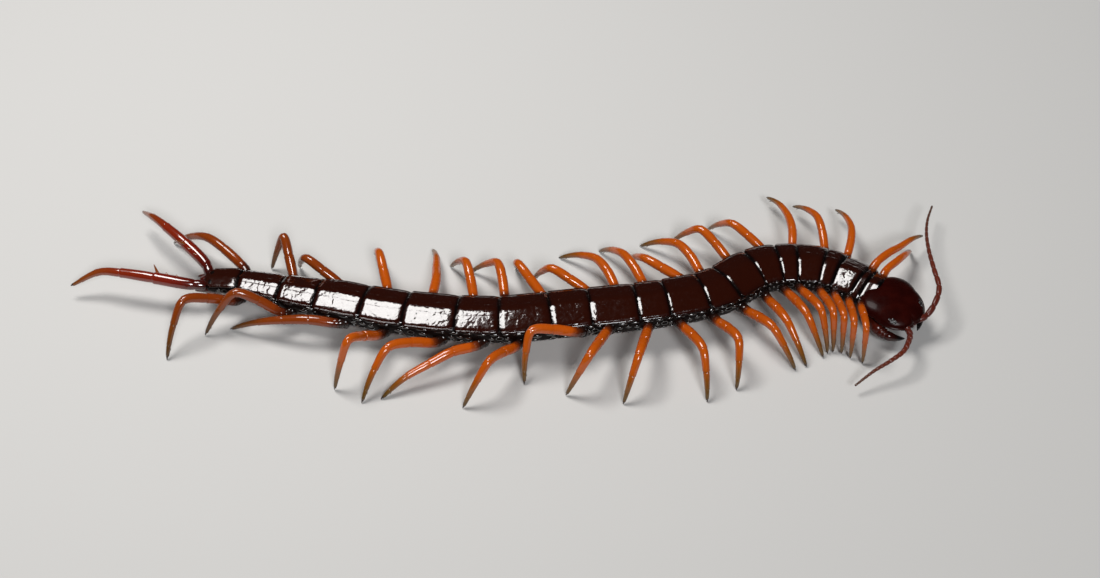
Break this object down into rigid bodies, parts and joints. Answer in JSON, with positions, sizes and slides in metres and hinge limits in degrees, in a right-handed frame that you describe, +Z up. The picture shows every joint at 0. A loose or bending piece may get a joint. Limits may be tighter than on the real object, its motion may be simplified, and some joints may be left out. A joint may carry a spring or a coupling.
{
  "type": "giant centipede",
  "caption": "Life-size still model of a giant centipede with dark glossy back plates and orange legs, walking in a gentle S curve with its head turned to the right.",
  "frame": {"origin": "middle of the footprint, on the floor that the claws stand on", "axes": "+X along the body towards the head, +Y to the animal's left, +Z up"},
  "size_m": [0.2074, 0.0655, 0.0148],
  "materials": {
    "back": "hard shell, polished, near-black mahogany",
    "head": "hard shell, polished, dark maroon",
    "leg": "hard shell, glossy orange with olive tips",
    "last_leg": "hard shell, glossy red-brown",
    "antenna": "short velvety down over a brown-red shell",
    "fang": "hard shell, glossy red-brown, black at the tip",
    "eye": "polished black lenses"
  },
  "bodies": {
    "root": {"trunk_1": "back", "trunk_2": "back", "trunk_3": "back", "trunk_4": "back", "trunk_5": "back", "trunk_6": "back", "trunk_7": "back", "head": "head", "eye_left": "eye", "eye_right": "eye", "antenna_left": "antenna", "antenna_right": "antenna", "forcipule_left": "fang", "forcipule_right": "fang", "leg_left_01": "leg", "leg_left_02": "leg", "leg_left_03": "leg", "leg_left_04": "leg", "leg_left_05": "leg", "leg_left_06": "leg", "leg_left_07": "leg", "leg_left_08": "leg", "leg_left_09": "leg", "leg_left_10": "leg", "leg_left_11": "leg", "leg_left_12": "leg", "leg_left_13": "leg", "leg_left_14": "leg", "leg_left_15": "leg", "leg_left_16": "leg", "leg_left_17": "leg", "leg_left_18": "leg", "leg_left_19": "leg", "leg_left_20": "leg", "leg_left_21": "last_leg", "leg_right_01": "leg", "leg_right_02": "leg", "leg_right_03": "leg", "leg_right_04": "leg", "leg_right_05": "leg", "leg_right_06": "leg", "leg_right_07": "leg", "leg_right_08": "leg", "leg_right_09": "leg", "leg_right_10": "leg", "leg_right_11": "leg", "leg_right_12": "leg", "leg_right_13": "leg", "leg_right_14": "leg", "leg_right_15": "leg", "leg_right_16": "leg", "leg_right_17": "leg", "leg_right_18": "leg", "leg_right_19": "leg", "leg_right_20": "leg", "leg_right_21": "last_leg"}
  },
  "joints": []
}
